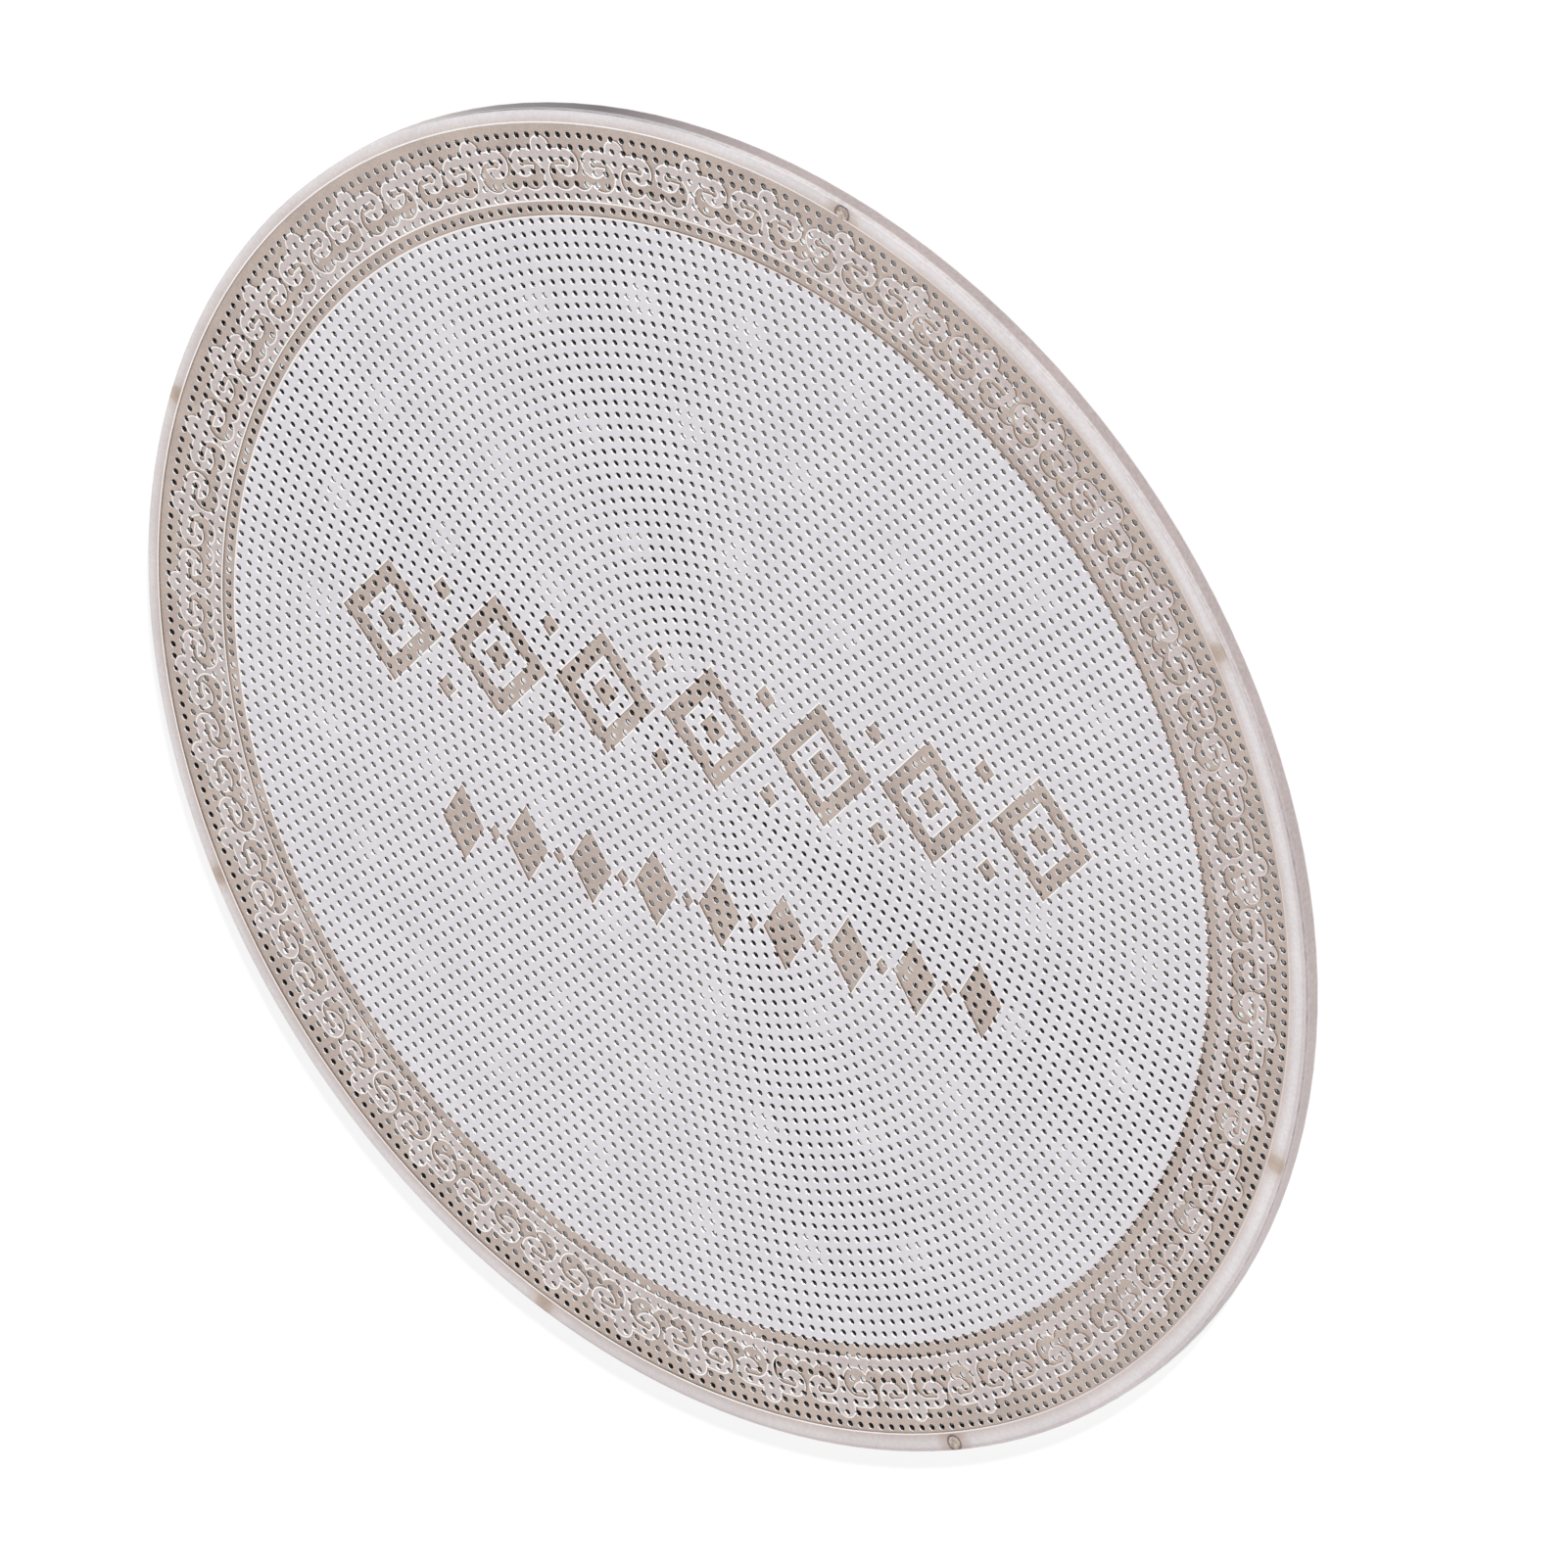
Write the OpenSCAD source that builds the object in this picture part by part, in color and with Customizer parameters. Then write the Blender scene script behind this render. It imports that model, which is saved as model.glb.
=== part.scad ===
// Round twin-sheet filter screen: a finely perforated top sheet with a half-etched border
// lies on the upright rim of a bottom plate, which has round ports for the flow.
// Millimetres, +Z up through the patterned face, underside on z = 0.

/* [Disc] */
// Outer diameter, a free fit in the basket
outer_d = 53.5; // [44:0.5:64]
// Width of the plain rim where the two screens meet
rim_w = 0.7; // [0.5:0.05:1.2]
// Bevel that breaks the outer edges
edge_break = 0.04; // [0.02:0.01:0.06]

/* [Top screen] */
// Thickness of the top sheet
top_t = 0.15; // [0.12:0.01:0.25]
// Depth of the half-etched recesses
etch_depth = 0.05; // [0.02:0.01:0.08]
// Width of the recessed border band inside the rim
band_w = 2.6; // [1.8:0.1:3.4]
// Width of the raised strip inside the band
strip_w = 0.4; // [0.3:0.05:0.8]
// Width of the narrow recessed ring inside the strip
groove_w = 0.6; // [0.4:0.05:1]

/* [Bottom screen] */
// Thickness of the bottom plate
web_t = 0.15; // [0.1:0.01:0.25]
// Height of the space between the two screens
cavity_h = 0.5; // [0.3:0.05:0.9]
// Diameter of a flow port
port_d = 1.5; // [1:0.1:2.4]
// Distance from one circle of ports to the next
port_pitch = 4.775; // [3.8:0.005:6]
// Turn of the first port of each circle
port_turn = 54.5; // [0:0.5:60]

/* [Perforation] */
// Distance from one circle of holes to the next
ring_pitch = 1.42; // [1.15:0.01:1.8]
// Diameter of a hole
hole_d = 0.8; // [0.4:0.05:0.95]
// Holes that each circle has more than the one inside it
holes_step = 6; // [4:1:6]
// Turn of the first hole of each circle
hole_turn = 39.5; // [0:0.5:60]
// Least land between a hole and the rim
edge_land = 0.05; // [0.05:0.05:0.6]

/* [Hidden] */
outer_r = outer_d / 2;
rim_r = outer_r - rim_w;
band_r = rim_r - band_w;
strip_r = band_r - strip_w;
groove_r = strip_r - groove_w;
seat_z = web_t + cavity_h;
top_z = seat_z + top_t;
hole_rings = floor((rim_r - edge_land - hole_d / 2) / ring_pitch);
port_rings = floor((rim_r - edge_land - port_d / 2) / port_pitch);
over = 0.2;
steel = [0.86, 0.85, 0.87];
steel_back = [0.78, 0.77, 0.78];

// Points on circles: one in the middle, then step, 2 * step, 3 * step and so on
function on_circles(rings, pitch, step, turn) = concat(
    [[0, 0]],
    [for (k = [1 : rings], i = [0 : step * k - 1])
        k * pitch * [cos(turn + 360 * i / (step * k)), sin(turn + 360 * i / (step * k))]]
);
hole_points = on_circles(hole_rings, ring_pitch, holes_step, hole_turn);
port_points = on_circles(port_rings, port_pitch, 6, port_turn);

module holes(points, d, z, h) {
    for (p = points)
        translate([p[0], p[1], z - over])
            cylinder(d = d, h = h + 2 * over, $fn = 16);
}

// Sheet with the border band and the narrow ring etched half way from above
module top_blank() {
    low = top_z - etch_depth;
    rotate_extrude($fn = 180)
        polygon([
            [0, seat_z],
            [outer_r, seat_z],
            [outer_r, top_z - edge_break],
            [outer_r - edge_break, top_z],
            [rim_r, top_z],
            [rim_r, low],
            [band_r, low],
            [band_r, top_z],
            [strip_r, top_z],
            [strip_r, low],
            [groove_r, low],
            [groove_r, top_z],
            [0, top_z]
        ]);
}

// Dish with a flat web and an upright rim that carries the top sheet
module bottom_blank() {
    rotate_extrude($fn = 180)
        polygon([
            [0, 0],
            [outer_r - edge_break, 0],
            [outer_r, edge_break],
            [outer_r, seat_z],
            [rim_r, seat_z],
            [rim_r, web_t],
            [0, web_t]
        ]);
}

module top_screen() {
    color(steel)
        difference() {
            top_blank();
            holes(hole_points, hole_d, seat_z, top_t);
        }
}

module bottom_screen() {
    color(steel_back)
        difference() {
            bottom_blank();
            holes(port_points, port_d, 0, web_t);
        }
}

top_screen();
bottom_screen();
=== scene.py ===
# %% [markdown]
# # An etched filter screen, step by step
# The object is a thin steel disc: a top sheet with thousands of fine holes and an ornamental border,
# lying on the rim of a bottom plate with round ports. The imported solids are loaded first, as a fixed
# frame.

# %% Load the imported solids
import math
import bpy
from mathutils import Matrix, Quaternion, Vector


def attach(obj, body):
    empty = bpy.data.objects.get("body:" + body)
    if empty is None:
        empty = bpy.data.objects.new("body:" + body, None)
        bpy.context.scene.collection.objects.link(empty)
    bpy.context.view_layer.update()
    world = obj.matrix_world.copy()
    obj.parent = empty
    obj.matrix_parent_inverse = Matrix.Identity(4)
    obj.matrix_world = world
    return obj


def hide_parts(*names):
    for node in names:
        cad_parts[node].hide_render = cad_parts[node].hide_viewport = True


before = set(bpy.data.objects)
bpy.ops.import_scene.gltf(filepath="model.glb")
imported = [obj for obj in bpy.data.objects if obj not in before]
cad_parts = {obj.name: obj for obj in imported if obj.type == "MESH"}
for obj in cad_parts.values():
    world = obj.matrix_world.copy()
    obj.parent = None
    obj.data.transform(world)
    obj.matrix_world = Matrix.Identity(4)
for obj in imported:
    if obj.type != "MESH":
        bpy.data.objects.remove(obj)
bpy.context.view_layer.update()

MM = 0.001

# %% [markdown]
# ## Finishes
# A finish is a graph of nodes, as it would be drawn in the Shader Editor. Three helpers keep the graphs
# short: one adds a node and fills or links its inputs, one gives the place of a point in the object's
# own coordinates, so that a finish stays with its piece, and one adds a ramp of colours.

# %% Helpers for nodes
def add_node(owner, kind, inputs, **settings):
    tree = owner.node_tree
    new = tree.nodes.new("ShaderNode" + kind)
    for name, value in settings.items():
        setattr(new, name, value)
    for key, value in inputs.items():
        if isinstance(value, bpy.types.NodeSocket):
            tree.links.new(value, new.inputs[key])
        else:
            new.inputs[key].default_value = value
    return new


def place(owner):
    return add_node(owner, "TexCoord", {}).outputs["Object"]


def ramp(owner, measure, stops):
    new = add_node(owner, "ValToRGB", {"Fac": measure})
    marks = new.color_ramp.elements
    while len(marks) < len(stops):
        marks.new(1.0)
    for mark, (position, colour) in zip(marks, stops):
        mark.position = position
        mark.color = (*colour, 1)
    return new.outputs["Color"]


print("node helpers: add_node, place, ramp")

# %% [markdown]
# All the finishes are stainless steel, and they differ in how the acid left it. The untouched face is
# pale and satin. The half-etched ground is duller and looks brown, and the raised lace of the border
# lies between the two. One function builds the graph that they share: two tones mixed by a fine and a
# wide noise, a roughness that wanders with the fine one, and a bump for the grain of the sheet.

# %% A steel finish from two tones
FINE_DETAIL = 3.0
WIDE_DETAIL = 2.0
FINE_SHARE = 0.55
DARK_BELOW = 0.36
LIGHT_ABOVE = 0.62
GRAIN_DEPTH = 0.01 * MM


def steel(name, light, dark, rough, grain, blotch, bump, metal=1.0):
    mat = bpy.data.materials.new(name)
    mat.use_nodes = True
    at = place(mat)
    fine = add_node(mat, "TexNoise", {"Vector": at, "Scale": grain, "Detail": FINE_DETAIL}).outputs["Fac"]
    wide = add_node(mat, "TexNoise", {"Vector": at, "Scale": blotch, "Detail": WIDE_DETAIL}).outputs["Fac"]
    rest = add_node(mat, "Math", {0: wide, 1: 1 - FINE_SHARE}, operation="MULTIPLY").outputs[0]
    mixed = add_node(mat, "Math", {0: fine, 1: FINE_SHARE, 2: rest}, operation="MULTIPLY_ADD").outputs[0]
    sheen = add_node(mat, "MapRange", {"Value": fine, "To Min": rough[0], "To Max": rough[1]})
    relief = add_node(mat, "Bump", {"Height": fine, "Strength": bump, "Distance": GRAIN_DEPTH})
    tone = ramp(mat, mixed, [(DARK_BELOW, dark), (LIGHT_ABOVE, light)])
    surface = mat.node_tree.nodes["Principled BSDF"].inputs
    surface["Metallic"].default_value = metal
    mat.node_tree.links.new(tone, surface["Base Color"])
    mat.node_tree.links.new(sheen.outputs["Result"], surface["Roughness"])
    mat.node_tree.links.new(relief.outputs["Normal"], surface["Normal"])
    return mat


pale_face = steel(
    "pale_face", light=(0.755, 0.73, 0.765), dark=(0.69, 0.665, 0.70), rough=(0.30, 0.42),
    grain=9000, blotch=500, bump=0.25)
etched_ground = steel(
    "etched_ground", light=(0.59, 0.50, 0.45), dark=(0.47, 0.395, 0.355), rough=(0.38, 0.55),
    grain=11000, blotch=600, bump=0.5)
lace_face = steel(
    "lace_face", light=(0.645, 0.575, 0.56), dark=(0.53, 0.465, 0.45), rough=(0.32, 0.46),
    grain=9000, blotch=700, bump=0.3)
print("nodes in one finish:", len(pale_face.node_tree.nodes))

# %% [markdown]
# Some finishes also change over the disc. Small functions measure where a point is: how near it is to
# the closest of some points, how high it lies, or its angle about the middle. Near and high are given
# in millimetres and come out as 0 at the low end and 1 at the high end.

# %% Measures of place
def span(owner, value, low, high):
    limits = {"Value": value, "From Min": low * MM, "From Max": high * MM}
    return add_node(owner, "MapRange", limits).outputs["Result"]


def pair(owner, one, other, how):
    return add_node(owner, "Math", {0: one, 1: other}, operation=how).outputs[0]


def nearest(owner, points, low, high):
    flat = add_node(owner, "VectorMath", {0: place(owner), 1: (1, 1, 0)}, operation="MULTIPLY").outputs[0]
    best = None
    for x, y in points:
        goal = (x * MM, y * MM, 0)
        reach = add_node(owner, "VectorMath", {0: flat, 1: goal}, operation="DISTANCE").outputs["Value"]
        best = reach if best is None else pair(owner, best, reach, "MINIMUM")
    return span(owner, best, low, high)


def height(owner, low, high):
    split = add_node(owner, "SeparateXYZ", {0: place(owner)})
    return span(owner, split.outputs["Z"], low, high)


def angle(owner):
    return add_node(owner, "TexGradient", {"Vector": place(owner)}, gradient_type="RADIAL").outputs["Fac"]


print("measures: nearest, height, angle")

# %% [markdown]
# A ramp over one of these measures multiplies the colour. The edge between the face and the etched
# ground is a thin polished line, and its near-white colour is also a painted highlight for the glint
# of a rounded edge. In the border that line is darkened on one side of the disc as painted shade, so
# its finish is the first that gets such a tint, by angle in degrees and only outside the lozenges of the
# middle.

# %% Tints by place, and the bright edge
# Numbers of the Mix node's sockets when it mixes colours
MIX_SHARE, MIX_BASE, MIX_TINT, MIX_RESULT = 0, 6, 7, 2
WHITE = (1, 1, 1)
LOZENGES_R = 20


def tint(mat, measure, stops, where=1.0):
    goal = mat.node_tree.nodes["Principled BSDF"].inputs["Base Color"]
    inputs = {MIX_SHARE: where, MIX_BASE: goal.links[0].from_socket, MIX_TINT: ramp(mat, measure, stops)}
    mix = add_node(mat, "Mix", inputs, data_type="RGBA", blend_type="MULTIPLY")
    mat.node_tree.links.new(mix.outputs[MIX_RESULT], goal)


def tint_by_angle(mat, stops, where=1.0):
    turns = [(0.5 + degrees / 360, colour) for degrees, colour in stops]
    tint(mat, angle(mat), turns, where)


bright_edge = steel(
    "bright_edge", light=(0.98, 0.96, 0.95), dark=(0.90, 0.87, 0.86), rough=(0.25, 0.36),
    grain=12000, blotch=800, bump=0.1)
# Painted shade: the bright line is darker on one side of the disc, by angle
EDGE_SHADE_BY_ANGLE = [
    (-180, (0.94, 0.92, 0.91)), (-90, WHITE), (-43.2, (0.78, 0.70, 0.68)),
    (57.6, (0.74, 0.66, 0.64)), (93.6, WHITE), (180, (0.94, 0.92, 0.91))]
tint_by_angle(bright_edge, EDGE_SHADE_BY_ANGLE, nearest(bright_edge, [(0, 0)], LOZENGES_R, LOZENGES_R + 1))
print("tones of the bright edge:", len(EDGE_SHADE_BY_ANGLE))

# %% [markdown]
# The wall of a hole changes with its height. Acid eats from both faces, so the upper part is a small
# dish that looks up, made pale as a painted highlight, and the lower part looks down, made dark as
# painted shade. Its grain is too rough to mirror anything, so this finish is hardly metallic. The lower
# face of the top sheet is dark too, as painted shade between the sheets.

# %% Walls of the holes and the lower face
WALL_SHADE_BELOW = 0.68
WALL_HIGHLIGHT_ABOVE = 0.72

hole_wall = steel(
    "hole_wall", light=(0.93, 0.91, 0.91), dark=(0.82, 0.79, 0.79), rough=(0.50, 0.65),
    grain=12000, blotch=900, bump=0.2, metal=0.15)
# Painted shade low on each hole wall, painted highlight on its upper part
tint(hole_wall, height(hole_wall, WALL_SHADE_BELOW, WALL_HIGHLIGHT_ABOVE), [
    (0.0, (0.03, 0.028, 0.028)), (0.5, (0.24, 0.22, 0.22)), (1.0, WHITE)])
# Painted shade: the lower face of the top sheet, in the space between the sheets
under_face = steel(
    "under_face", light=(0.16, 0.145, 0.14), dark=(0.09, 0.08, 0.075), rough=(0.45, 0.60),
    grain=9000, blotch=600, bump=0.4)
print("hole walls turn pale between", WALL_SHADE_BELOW, "and", WALL_HIGHLIGHT_ABOVE, "mm")

# %% [markdown]
# Spot welds along the rim hold the two sheets together. Two of them are scorched: a brown pan with a
# dark edge, cut later, and a halo. Five are faint and only tint the rim. The rim is also browner
# beside the recessed band, and the mask of that band lies a little off the centre of the disc.

# %% Welds and the rim's face
ART = (-0.095, 0.107)
RIM_R = 26.13
SOLID_R = 26.75
WELD_R = 26.44
WELD_HALO = 0.9
SCORCHED = (-67.4, 75.1)
FAINT = (-110.2, -155.2, 160.1, 28.6, -16.9)


def on_rim(angles):
    turns = [math.radians(a) for a in angles]
    return [(WELD_R * math.cos(t), WELD_R * math.sin(t)) for t in turns]


weld_tint = steel(
    "weld_tint", light=(0.66, 0.56, 0.49), dark=(0.32, 0.25, 0.21), rough=(0.30, 0.45),
    grain=5000, blotch=2500, bump=0.8)
weld_edge = steel(
    "weld_edge", light=(0.20, 0.19, 0.22), dark=(0.05, 0.045, 0.055), rough=(0.30, 0.45),
    grain=5000, blotch=2500, bump=0.5)
rim_face = steel(
    "rim_face", light=(0.81, 0.77, 0.78), dark=(0.71, 0.67, 0.675), rough=(0.28, 0.42),
    grain=8000, blotch=300, bump=0.3)
tint(rim_face, nearest(rim_face, [ART], RIM_R, SOLID_R), [
    (0.0, (0.80, 0.74, 0.70)), (0.35, (0.93, 0.90, 0.88)), (0.6, WHITE),
    (0.9, (0.98, 0.97, 0.97)), (1.0, (0.85, 0.82, 0.82))])
# Painted shade: the rim is darker on one side of the disc, by angle
tint_by_angle(rim_face, [
    (-180, (0.94, 0.93, 0.93)), (-90, (0.87, 0.85, 0.84)), (-28.8, WHITE),
    (115.2, WHITE), (180, (0.94, 0.93, 0.93))])
tint(rim_face, nearest(rim_face, on_rim(SCORCHED), 0.2, WELD_HALO), [
    (0.0, (0.30, 0.27, 0.29)), (0.16, (0.30, 0.27, 0.29)), (0.24, (0.80, 0.72, 0.66)), (1.0, WHITE)])
tint(rim_face, nearest(rim_face, on_rim(FAINT), 0.0, WELD_HALO), [
    (0.0, (0.66, 0.56, 0.47)), (0.35, (0.76, 0.68, 0.60)), (0.5, (0.90, 0.86, 0.82)), (1.0, WHITE)])
print("weld marks:", len(SCORCHED), "scorched,", len(FAINT), "faint")

# %% [markdown]
# The wall round the disc is plain steel with light and dark stretches along it by angle, which are
# painted light and shade. The upper part of the wall belongs to the top sheet and the rest to the bottom
# plate, so the tones are kept in a list that both finishes use. All finishes then go into one list, and
# each gets a short name for its number.

# %% The rim's wall and the list of finishes
# Tones by angle on the wall round the disc: painted light and shade
HIGH_WALL_SHADING = [
    (-180, WHITE), (-36, (0.64, 0.60, 0.60)), (10.8, (0.66, 0.62, 0.62)), (36, (0.92, 0.90, 0.91)),
    (82.8, WHITE), (91.8, (0.80, 0.80, 0.82)), (100, (0.62, 0.62, 0.66)), (109.8, (0.50, 0.48, 0.51)),
    (120.6, WHITE)]
rim_wall = steel(
    "rim_wall", light=(0.80, 0.765, 0.775), dark=(0.64, 0.61, 0.615), rough=(0.30, 0.45),
    grain=6000, blotch=220, bump=0.5)
tint_by_angle(rim_wall, HIGH_WALL_SHADING)
FINISHES = [
    pale_face, etched_ground, bright_edge, hole_wall, weld_tint,
    weld_edge, lace_face, rim_face, rim_wall, under_face]
FACE, GROUND, EDGE, HOLE, TINT, SCORCH, LACE, RIM, WALL, UNDER = range(len(FINISHES))
print("finishes:", [m.name for m in FINISHES])

# %% [markdown]
# ## Tools for the bench
# Etching takes metal away through a mask, so the pieces are cut the same way: a plain blank, and
# tools that are taken out of it or laid on it. A tool is a cylinder or a cone from the Add menu. Each
# carries the same list of finishes as the blank, so a cut face keeps the finish of the tool that made
# it. A wheel is a cylinder with many sides, whose ends are fans of triangles: ring-shaped faces cut
# from them stay clean.

# %% Cylinders, cones and wheels
FLAT = 0.9
ROUND_SIDES = 180


def take(piece):
    bpy.ops.object.select_all(action="DESELECT")
    piece.select_set(True)
    bpy.context.view_layer.objects.active = piece


def dress(piece, top, side, bottom):
    for finish in FINISHES:
        piece.data.materials.append(finish)
    for face in piece.data.polygons:
        up = face.normal.z
        face.material_index = top if up > FLAT else bottom if up < -FLAT else side


def cone(name, low_r, high_r, low, high, finish, at=(0, 0), sides=32, turn=0, ends="NGON"):
    bpy.ops.mesh.primitive_cone_add(
        vertices=sides, radius1=low_r * MM, radius2=high_r * MM, depth=(high - low) * MM,
        location=(at[0] * MM, at[1] * MM, (low + high) / 2 * MM),
        rotation=(0, 0, math.radians(turn)), end_fill_type=ends)
    piece = bpy.context.object
    piece.name = name
    bpy.ops.object.transform_apply(location=True, rotation=True, scale=True)
    dress(piece, *finish)
    return piece


def cylinder(name, r, low, high, finish, **more):
    return cone(name, r, r, low, high, finish, **more)


def wheel(name, r, low, high, finish, at=(0, 0)):
    return cylinder(name, r, low, high, finish, at=at, sides=ROUND_SIDES, ends="TRIFAN")


print("tools: cone, cylinder, wheel")

# %% [markdown]
# The Boolean modifier does the cutting, with its Manifold solver, which is quick enough for thousands
# of holes. An Array about an empty copies a tool round the disc. A report gives the number of
# triangles and the areas of the faces that look up and down. The two areas agree, but for what a bevel
# takes, when no face is missing.

# %% Cuts, copies and a report
def combine(piece, tool, how):
    take(piece)
    step = piece.modifiers.new("step", "BOOLEAN")
    step.operation = how
    step.solver = "MANIFOLD"
    step.object = tool
    bpy.ops.object.modifier_apply(modifier="step")
    bpy.data.objects.remove(tool, do_unlink=True)


def around(piece, copies):
    bpy.ops.object.empty_add(rotation=(0, 0, math.radians(360 / copies)))
    pivot = bpy.context.object
    take(piece)
    run = piece.modifiers.new("around", "ARRAY")
    run.use_relative_offset = False
    run.use_object_offset = True
    run.offset_object = pivot
    run.count = copies
    bpy.ops.object.modifier_apply(modifier="around")
    bpy.data.objects.remove(pivot, do_unlink=True)


def join(pieces):
    take(pieces[0])
    for piece in pieces:
        piece.select_set(True)
    bpy.ops.object.join()
    return bpy.context.object


def report(piece):
    piece.data.calc_loop_triangles()
    faces = piece.data.polygons
    areas = [sum(f.area for f in faces if f.normal.z * up > FLAT) / MM ** 2 for up in (1, -1)]
    print(piece.name, len(piece.data.loop_triangles), "triangles, up and down:", [round(a, 1) for a in areas])


print("bench: combine, around, join, report")

# %% [markdown]
# ## The fine holes
# The holes lie on circles a constant step apart, and each circle has six more than the one inside it,
# so they stay evenly spread from the middle to the rim. One eight-sided pin is added for each circle
# and an Array turns it about the middle, as a dividing head would. Eight sides are enough for a hole
# of a quarter of a millimetre, and keep the sheet light. The sheet will be split between circles of
# holes into a disc and two rings, so that each piece stays light enough to handle.

# %% Pins for the circles of holes
TOP = 0.8
SEAT = 0.65
# A tool that cuts right through stands out this far above and below
THROUGH = 0.1
RING = 0.4775
MORE_EACH = 6
HOLE_R = 0.142
HOLE_TURN = 39.53
MIDDLE_CIRCLES = (0, 32)
FIELD_CIRCLES = (33, 46)
BORDER_CIRCLES = (47, 54)
RAW_HOLE = (HOLE, HOLE, HOLE)


def hole_pins(first, last):
    turn = math.radians(HOLE_TURN)
    rows = []
    for k in range(first, last + 1):
        at = (k * RING * math.cos(turn), k * RING * math.sin(turn))
        pin = cylinder("pin", HOLE_R, SEAT - THROUGH, TOP + THROUGH, RAW_HOLE, at=at, sides=8, turn=HOLE_TURN)
        if k:
            around(pin, MORE_EACH * k)
        rows.append(pin)
    return join(rows)


print("holes in all:", 1 + MORE_EACH * sum(range(BORDER_CIRCLES[1] + 1)))

# %% [markdown]
# ## The middle of the top sheet
# The middle is a plain satin face. Two rows of half-etched lozenges lie across it. Each lozenge tool
# is a four-sided cylinder, and a wider one that only just bites the face goes round it: that shallow
# bite becomes the polished line that runs along every etched edge, coloured with a painted highlight.
# Sizes of a lozenge are measured to its corners, its stroke too.

# %% One lozenge tool
GROUND_Z = 0.75
POLISH = TOP - 0.004
# Tools stand proud of the face, the line's a little more, so that no two of their faces coincide
PROUD = 0.05
LINE_PROUD = 0.06
LINE_CORNER = 0.084
DULL = (FACE, GROUND, GROUND)
BRIGHT = (FACE, EDGE, EDGE)


def lozenge(x, y, half_w, half_h, stroke=0):
    tool = cylinder("lozenge", half_h, GROUND_Z, TOP + PROUD, DULL, sides=4)
    line = cylinder("line", half_h + LINE_CORNER, POLISH, TOP + LINE_PROUD, BRIGHT, sides=4)
    if stroke:
        inner = half_h - stroke
        for part, r, finish in ((tool, inner, DULL), (line, inner - LINE_CORNER, BRIGHT)):
            core = cylinder("core", r, GROUND_Z - THROUGH, TOP + THROUGH, finish, sides=4)
            combine(part, core, "DIFFERENCE")
    combine(tool, line, "UNION")
    take(tool)
    bpy.ops.transform.resize(value=(half_w / half_h, 1, 1), center_override=(0, 0, 0))
    bpy.ops.transform.translate(value=(x * MM, y * MM, 0))
    bpy.ops.object.transform_apply(location=True, rotation=True, scale=True)
    return tool


print("etched", round(TOP - GROUND_Z, 3), "mm deep, polished lines", round(TOP - POLISH, 3), "mm deep")

# %% [markdown]
# The upper row has seven open lozenges with a small one inside each, and small ones above and below
# the gaps. The lower row has nine solid ones with a small one between each two.

# %% The two rows
UPPER_COUNT = 7
UPPER_Y = 2.5
UPPER_STEP = 5.0
GAP_RISE = 2.05
LOWER_COUNT = 9
LOWER_Y = -5.1
LOWER_STEP = 3.0


def lozenge_rows():
    tools = []
    for i in range(UPPER_COUNT):
        x = (i - (UPPER_COUNT - 1) / 2) * UPPER_STEP
        tools.append(lozenge(x, UPPER_Y, half_w=2.3, half_h=2.55, stroke=1.0224))
        tools.append(lozenge(x, UPPER_Y, half_w=0.6, half_h=0.66))
        if i < UPPER_COUNT - 1:
            for rise in (GAP_RISE, -GAP_RISE):
                tools.append(lozenge(x + UPPER_STEP / 2, UPPER_Y + rise, half_w=0.45, half_h=0.5))
    for i in range(LOWER_COUNT):
        x = (i - (LOWER_COUNT - 1) / 2) * LOWER_STEP
        tools.append(lozenge(x, LOWER_Y, half_w=0.98, half_h=1.6))
        if i < LOWER_COUNT - 1:
            tools.append(lozenge(x + LOWER_STEP / 2, LOWER_Y, half_w=0.28, half_h=0.38))
    return join(tools)


print("rows of", UPPER_COUNT, "and", LOWER_COUNT, "at", UPPER_Y, "and", LOWER_Y, "mm")

# %% [markdown]
# The disc and the first ring are cut with the same tools, so a lozenge that crosses the split goes on
# from one to the other. The holes come last and go through everything.

# %% Cut the disc and the ring of the field
MIDDLE_R = 15.52
SPLIT_R = 22.2


def ring_blank(name, inner, outer, side):
    ring = wheel(name, outer, SEAT, TOP, (FACE, side, UNDER))
    bore = wheel("bore", inner, SEAT - THROUGH, TOP + THROUGH, RAW_HOLE)
    return ring, bore


top_middle = cylinder("top_middle", MIDDLE_R, SEAT, TOP, (FACE, HOLE, UNDER), sides=ROUND_SIDES)
top_field, bore = ring_blank("top_field", MIDDLE_R, SPLIT_R, HOLE)
combine(top_field, bore, "DIFFERENCE")
for piece, circles in ((top_middle, MIDDLE_CIRCLES), (top_field, FIELD_CIRCLES)):
    combine(piece, lozenge_rows(), "DIFFERENCE")
    combine(piece, hole_pins(*circles), "DIFFERENCE")
    report(piece)

# %% [markdown]
# ## The border: blank
# The border is the second ring of the sheet and carries the plain rim. The outer edge of a cut sheet
# is deburred, so it gets a small bevel while the blank is still a plain wheel with few edges to choose
# from. The ring is bored out afterwards.

# %% Blank of the border
OUTER = 26.742
EDGE_BREAK = 0.045
NEAR = 0.01

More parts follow.
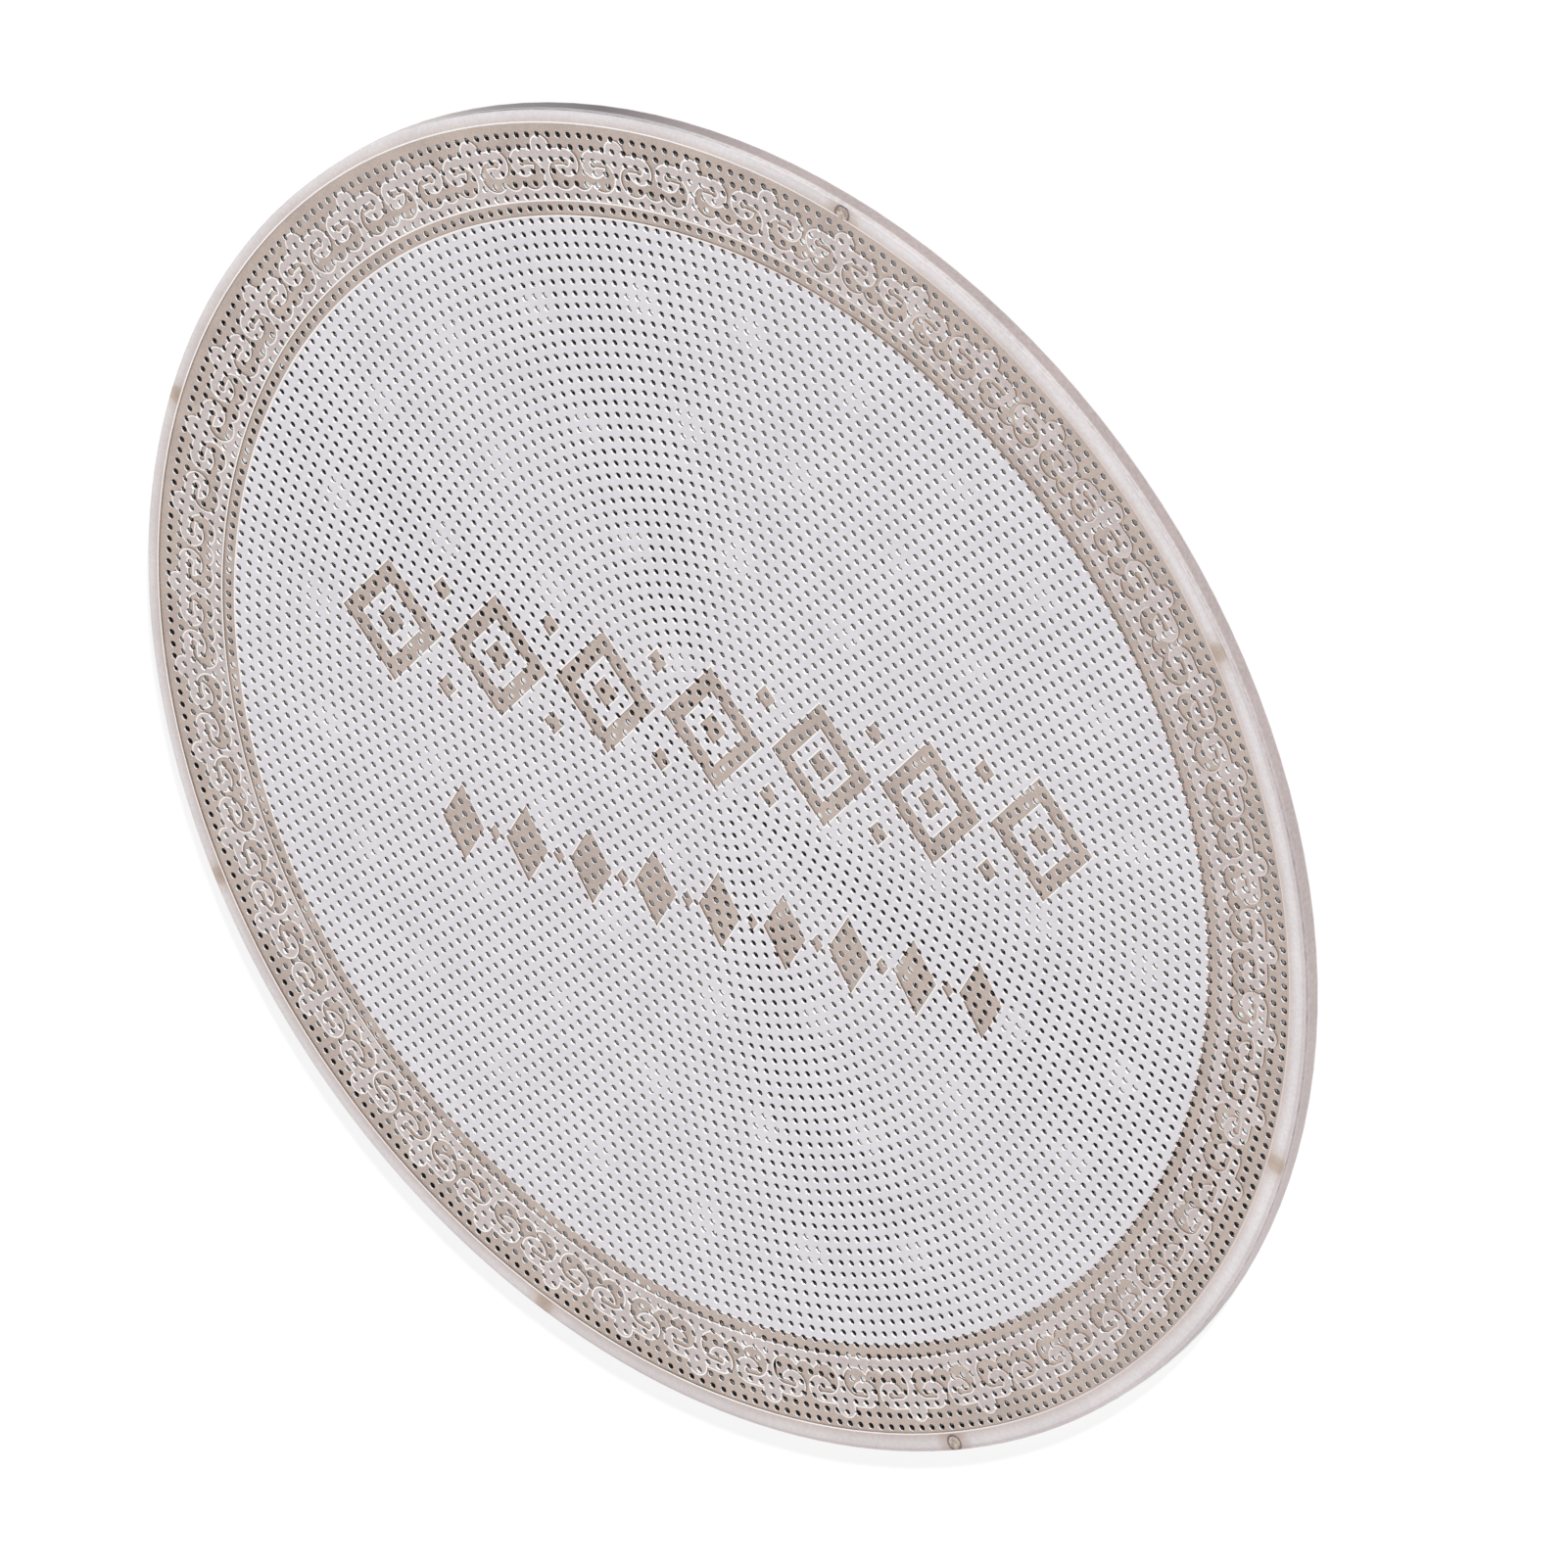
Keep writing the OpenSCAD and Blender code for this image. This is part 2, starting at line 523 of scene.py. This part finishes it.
top_border, bore = ring_blank("top_border", SPLIT_R, OUTER, WALL)
take(top_border)
bpy.ops.object.mode_set(mode="EDIT")
bpy.ops.mesh.select_all(action="DESELECT")
bpy.ops.object.mode_set(mode="OBJECT")
for edge in top_border.data.edges:
    ends = [top_border.data.vertices[v].co for v in edge.vertices]
    edge.select = all(c.z > (TOP - NEAR) * MM and c.xy.length > (OUTER - NEAR) * MM for c in ends)
bpy.ops.object.mode_set(mode="EDIT")
bpy.ops.mesh.bevel(offset=EDGE_BREAK * MM, segments=3, affect="EDGES", material=RIM)
bpy.ops.object.mode_set(mode="OBJECT")
combine(top_border, bore, "DIFFERENCE")
report(top_border)

# %% [markdown]
# ## The border: recesses
# The border has a narrow recessed ring, a raised strip and a wide recessed band up to the rim. A
# recess in the shape of a ring is a wide wheel with a narrower wheel taken out of its middle. The mask
# on the real sheet lies a little off the centre of the holes, so the rim is wider on one side, and
# the same small shift is used here.

# %% Recesses of the border
LINE_W = 0.06
GROOVE_R = 22.53
STRIP_R = 23.07
BAND_R = 23.17


def ring_recess(inner, outer):
    tool = wheel("recess", outer, GROUND_Z, TOP + PROUD, DULL, ART)
    combine(tool, wheel("core", inner, GROUND_Z - THROUGH, TOP + THROUGH, DULL, ART), "DIFFERENCE")
    line = wheel("line", outer + LINE_W, POLISH, TOP + LINE_PROUD, BRIGHT, ART)
    combine(line, wheel("core", inner - LINE_W, POLISH - THROUGH, TOP + THROUGH, BRIGHT, ART), "DIFFERENCE")
    combine(tool, line, "UNION")
    return tool


combine(top_border, ring_recess(GROOVE_R, STRIP_R), "DIFFERENCE")
combine(top_border, ring_recess(BAND_R, RIM_R), "DIFFERENCE")
report(top_border)

# %% [markdown]
# ## The border: raised ornament
# The ornament is a run of one old-fashioned lace motif: a stem that flares into a scalloped strip, a
# round head, and an arm on each side that curls in. It is what the mask kept from the acid, so it
# stands at the height of the face. A motif is built flat from discs and blocks, at the radius where
# it will lie. A tall copy of a disc or block goes right through the others and cuts them.

# %% Discs and blocks
LOW = GROUND_Z - 0.02
TALLER = 3


def disc(u, rho, r, top=TOP, finish=LACE, sides=22):
    return cylinder("disc", r, LOW, top, (finish, GROUND, GROUND), at=(rho, u), sides=sides)


def block(us, rhos, top=TOP, finish=LACE):
    u0, u1 = sorted(us)
    rho0, rho1 = rhos
    bpy.ops.mesh.primitive_cube_add(
        size=1, location=((rho0 + rho1) / 2 * MM, (u0 + u1) / 2 * MM, (LOW + top) / 2 * MM),
        scale=((rho1 - rho0) * MM, (u1 - u0) * MM, (top - LOW) * MM))
    piece = bpy.context.object
    bpy.ops.object.transform_apply(location=True, rotation=True, scale=True)
    dress(piece, finish, GROUND, GROUND)
    return piece


def tall(tool):
    take(tool)
    bpy.ops.transform.resize(value=(1, 1, TALLER), center_override=(0, 0, TOP * MM))
    bpy.ops.object.transform_apply(location=True, rotation=True, scale=True)
    return tool


print("ornament stands from", LOW, "to", TOP, "mm")

# %% [markdown]
# The stem is a block with a round bite on each side. The head is a disc. Each arm is a block that ends
# in a disc with an eye and a slit, which make the curl. The whole motif can be made thinner by a
# line's width all round.

# %% One motif
STEM_HALF = 0.75
STEM_SPAN = (23.3, 24.95)
BITE = (24.123, 0.60)
HEAD = (25.22, 0.45)
ARM = 1.07
ARM_SPAN = (24.71, 25.15)
CURL = (24.58, 0.57)
EYE_R = 0.14
SLIT_FROM = 0.3
SLIT_SPAN = (24.50, 24.70)


def motif(thin, top, finish):
    body = block((-STEM_HALF, STEM_HALF), STEM_SPAN, top, finish)
    for side in (-1, 1):
        combine(body, tall(disc(side * STEM_HALF, BITE[0], BITE[1] + thin)), "DIFFERENCE")
    combine(body, disc(0, HEAD[0], HEAD[1] - thin, top, finish), "UNION")
    for side in (-1, 1):
        arm = block((0, side * ARM), (ARM_SPAN[0] + thin, ARM_SPAN[1] - thin), top, finish)
        combine(body, arm, "UNION")
        curl = disc(side * ARM, CURL[0], CURL[1] - thin, top, finish)
        combine(curl, tall(disc(side * ARM, CURL[0], EYE_R + thin, sides=12)), "DIFFERENCE")
        slit = block((side * SLIT_FROM, side * ARM), (SLIT_SPAN[0] - thin, SLIT_SPAN[1] + thin))
        combine(curl, tall(slit), "DIFFERENCE")
        combine(body, curl, "UNION")
    return body


print("motif reaches from", STEM_SPAN[0], "to", sum(HEAD), "mm")

# %% [markdown]
# The scalloped strip runs all the way round, so it is made once as a ring. The scallops are bites of
# three discs for each repeat, turned about the middle. The motif is arrayed with the same step and
# laid on the strip. The lace is made twice, the second time a line's width smaller and a hair taller,
# so that the first one shows round it as the polished line, coloured with a painted highlight.

# %% The whole lace
REPEATS = 45
HALF_STEP = 1.715
LACE_TURN = 2.0
SCALLOP_R = 23.80
SCALLOP = (23.94, 0.45)


def lace_layer(thin, top, finish):
    strip = wheel("lace", SCALLOP_R, LOW, top, (finish, GROUND, GROUND))
    combine(strip, wheel("inside", STRIP_R + thin, LOW - THROUGH, TOP + THROUGH, DULL), "DIFFERENCE")
    for u, (rho, r) in ((STEM_HALF, BITE), (-STEM_HALF, BITE), (HALF_STEP, SCALLOP)):
        bite = tall(disc(u, rho, r + thin))
        around(bite, REPEATS)
        combine(strip, bite, "DIFFERENCE")
    flower = motif(thin, top, finish)
    around(flower, REPEATS)
    combine(strip, flower, "UNION")
    return strip


lace = lace_layer(0, POLISH, EDGE)
combine(lace, lace_layer(LINE_W, TOP, LACE), "UNION")
take(lace)
bpy.ops.transform.rotate(value=-math.radians(LACE_TURN), orient_axis="Z", center_override=(0, 0, 0))
bpy.ops.transform.translate(value=(ART[0] * MM, ART[1] * MM, 0))
bpy.ops.object.transform_apply(location=True, rotation=True, scale=True)
report(lace)
combine(top_border, lace, "UNION")

# %% [markdown]
# ## The border: weld pans and holes
# Each of the two scorched welds left a shallow pan, so its tool is a low cone with few sides. Its
# wall gets the dark finish and its bottom the brown one. The holes come last. The rim and the lace
# still carry the finish of the blank's face and get their own, by their distance from the middle.

# %% Welds and holes of the border
PAN_RADII = (0.21, 0.30)
PAN_HEIGHTS = (TOP - 0.02, TOP + 0.01)
RIM_FROM = 26.0
LACE_FROM = 22.8

for at in on_rim(SCORCHED):
    pan = cone("pan", *PAN_RADII, *PAN_HEIGHTS, (TINT, SCORCH, TINT), at=at, sides=9, turn=15)
    combine(top_border, pan, "DIFFERENCE")
combine(top_border, hole_pins(*BORDER_CIRCLES), "DIFFERENCE")
for face in top_border.data.polygons:
    if face.material_index == FACE:
        reach = face.center.xy.length / MM
        face.material_index = RIM if reach > RIM_FROM else LACE if reach > LACE_FROM else FACE
report(top_border)

# %% [markdown]
# ## Seat the top sheet
# Flat faces stay flat and round walls turn smooth when the shading is split by angle. The three pieces
# then ride on the part's one body and stand for the top sheet of the solids.

# %% Seat the three pieces
SHARP = math.radians(28)

for piece in (top_middle, top_field, top_border):
    take(piece)
    bpy.ops.object.shade_smooth_by_angle(angle=SHARP)
    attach(piece, "root")
    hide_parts("top_screen")
    print(piece.name, "is seated, top at", round(max(v.co.z for v in piece.data.vertices) / MM, 3), "mm")

# %% [markdown]
# ## The bottom plate
# The solid of the bottom plate already has its true shape, with its rim and ports, so it only gets a
# finish. Outside, on its wall and its underside, it is bare metal. Inside, in the space between the
# sheets, it is matte and darkened as painted shade. The tones of its wall change with the angle, as
# painted light and shade, and differ above and below a level on the wall, where the two lists meet.

# %% Finish of the bottom plate
WALL_FROM = 26.60
WALL_FULL = 26.70
# Tones by angle on the lower wall: painted light and shade
LOW_WALL_SHADING = [
    (-180, (0.64, 0.59, 0.59)), (79.2, (0.64, 0.59, 0.59)), (91.8, (0.46, 0.42, 0.43)),
    (100, (0.19, 0.17, 0.19)), (109.8, (0.26, 0.24, 0.25)), (120.6, (0.75, 0.72, 0.72)),
    (180, (0.80, 0.78, 0.78))]
# Limits in falling order make a measure that grows downwards
MEET = (0.48, 0.58)
UNDERSIDE = (0.10, 0.05)
# Painted shade: the plate is darker inside, between the sheets
INSIDE_SHADE = (0.34, 0.34, 0.34)

plate_steel = steel(
    "plate_steel", light=(0.80, 0.75, 0.74), dark=(0.64, 0.60, 0.59), rough=(0.30, 0.46),
    grain=6000, blotch=220, bump=0.4)
on_wall = nearest(plate_steel, [(0, 0)], WALL_FROM, WALL_FULL)
outside = pair(plate_steel, on_wall, height(plate_steel, *UNDERSIDE), "MAXIMUM")
tint(plate_steel, outside, [(0.0, INSIDE_SHADE), (1.0, WHITE)])
for tones, heights in ((LOW_WALL_SHADING, MEET[::-1]), (HIGH_WALL_SHADING, MEET)):
    tint_by_angle(plate_steel, tones, pair(plate_steel, on_wall, height(plate_steel, *heights), "MULTIPLY"))
plate_steel.node_tree.links.new(outside, plate_steel.node_tree.nodes["Principled BSDF"].inputs["Metallic"])
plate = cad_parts["bottom_screen"]
plate.data.materials.clear()
plate.data.materials.append(plate_steel)
print("bottom plate finish:", plate.data.materials[0].name)

# %% [markdown]
# ## Floor, light and camera
# The disc lies on a pale floor, like a sheet of white paper. It is partly matte, so that it keeps a
# soft shadow, and partly glows, but only where the camera or a reflection sees it: the glow makes the
# ground of the picture white and casts no light on matte surfaces.

# %% Floor
FLOOR_SIZE = 3
FLOOR_GAP = 0.02 * MM
FLOOR_MATTE = (0.3, 0.3, 0.3, 1)
FLOOR_GLOW = 0.6


def seen_directly(owner):
    ray = add_node(owner, "LightPath", {}).outputs
    seen = pair(owner, ray["Is Camera Ray"], ray["Is Glossy Ray"], "MAXIMUM")
    return pair(owner, seen, ray["Is Transmission Ray"], "MAXIMUM")


bpy.ops.mesh.primitive_plane_add(size=FLOOR_SIZE, location=(0, 0, -FLOOR_GAP))
floor = bpy.context.object
floor.name = "floor"
paper = bpy.data.materials.new("white_paper")
paper.use_nodes = True
nodes = paper.node_tree.nodes
nodes.remove(nodes["Principled BSDF"])
matte = add_node(paper, "BsdfDiffuse", {"Color": FLOOR_MATTE}).outputs[0]
strength = add_node(paper, "Math", {0: seen_directly(paper), 1: FLOOR_GLOW}, operation="MULTIPLY").outputs[0]
glow = add_node(paper, "Emission", {"Strength": strength}).outputs[0]
total = add_node(paper, "AddShader", {0: matte, 1: glow}).outputs[0]
paper.node_tree.links.new(total, nodes["Material Output"].inputs["Surface"])
floor.data.materials.append(paper)
print("floor:", FLOOR_SIZE, "m wide")

# %% [markdown]
# The world is a plain white room. It too is white only where it is seen, directly or as a reflection in
# the steel, so that bare metal shows about the tone that its finish is given. As light on matte
# surfaces it is weak, and the insides of the holes stay dark.

# %% World
WORLD_LIGHT = 0.08

world = bpy.data.worlds.new("white_room")
world.use_nodes = True
bpy.context.scene.world = world
level = add_node(world, "MapRange", {"Value": seen_directly(world), "To Min": WORLD_LIGHT, "To Max": 1.0})
back = world.node_tree.nodes["Background"].inputs
back["Color"].default_value = (*WHITE, 1)
world.node_tree.links.new(level.outputs["Result"], back["Strength"])
print("world: 1 where it is seen,", WORLD_LIGHT, "as light")

# %% [markdown]
# A small lamp overhead throws spots of light through the holes onto the plate below, and another
# beside the camera lights the far walls of the holes. Neither shows in reflections, so the lamps don't
# change the tone of the metal.

# %% Lamps
LAMP_DISTANCE = 0.6


def towards(azimuth, elevation):
    a = math.radians(azimuth)
    e = math.radians(elevation)
    return Vector((math.cos(e) * math.cos(a), math.cos(e) * math.sin(a), math.sin(e)))


def lamp(name, azimuth, elevation, size, watts):
    out = towards(azimuth, elevation)
    bpy.ops.object.light_add(type="AREA", location=out * LAMP_DISTANCE)
    light = bpy.context.object
    light.name = name
    light.rotation_euler = out.to_track_quat("Z", "Y").to_euler()
    light.data.size = size
    light.data.energy = watts
    light.visible_glossy = False
    print("lamp", name, "at", [round(v, 3) for v in light.location])


lamp("top", azimuth=35, elevation=83, size=0.07, watts=3.4)
lamp("side", azimuth=60, elevation=27, size=0.06, watts=5.2)

# %% [markdown]
# The camera looks down at the disc from a distance with a long lens, and is rolled about its own axis,
# so that the disc seems to stand on its edge. The angles come from fitting the circles of holes.

# %% Camera
AZIMUTH = 41.21739
ELEVATION = 43.42454
ROLL = -123.08019
DISTANCE = 719.2813 * MM
AIM = Vector((2.59201, 0.62341, 0)) * MM

out = towards(AZIMUTH, ELEVATION)
facing = out.to_track_quat("Z", "Y") @ Quaternion((0, 0, 1), math.radians(ROLL))
bpy.ops.object.camera_add()
camera = bpy.context.object
camera.matrix_world = Matrix.LocRotScale(AIM + out * DISTANCE, facing, None)
camera.data.sensor_width = 36
camera.data.lens = 451.77
camera.data.clip_start = 0.01
camera.data.clip_end = 20
bpy.context.scene.camera = camera
bpy.context.scene.view_settings.view_transform = "Standard"
print("camera at", [round(v, 4) for v in camera.matrix_world.translation])
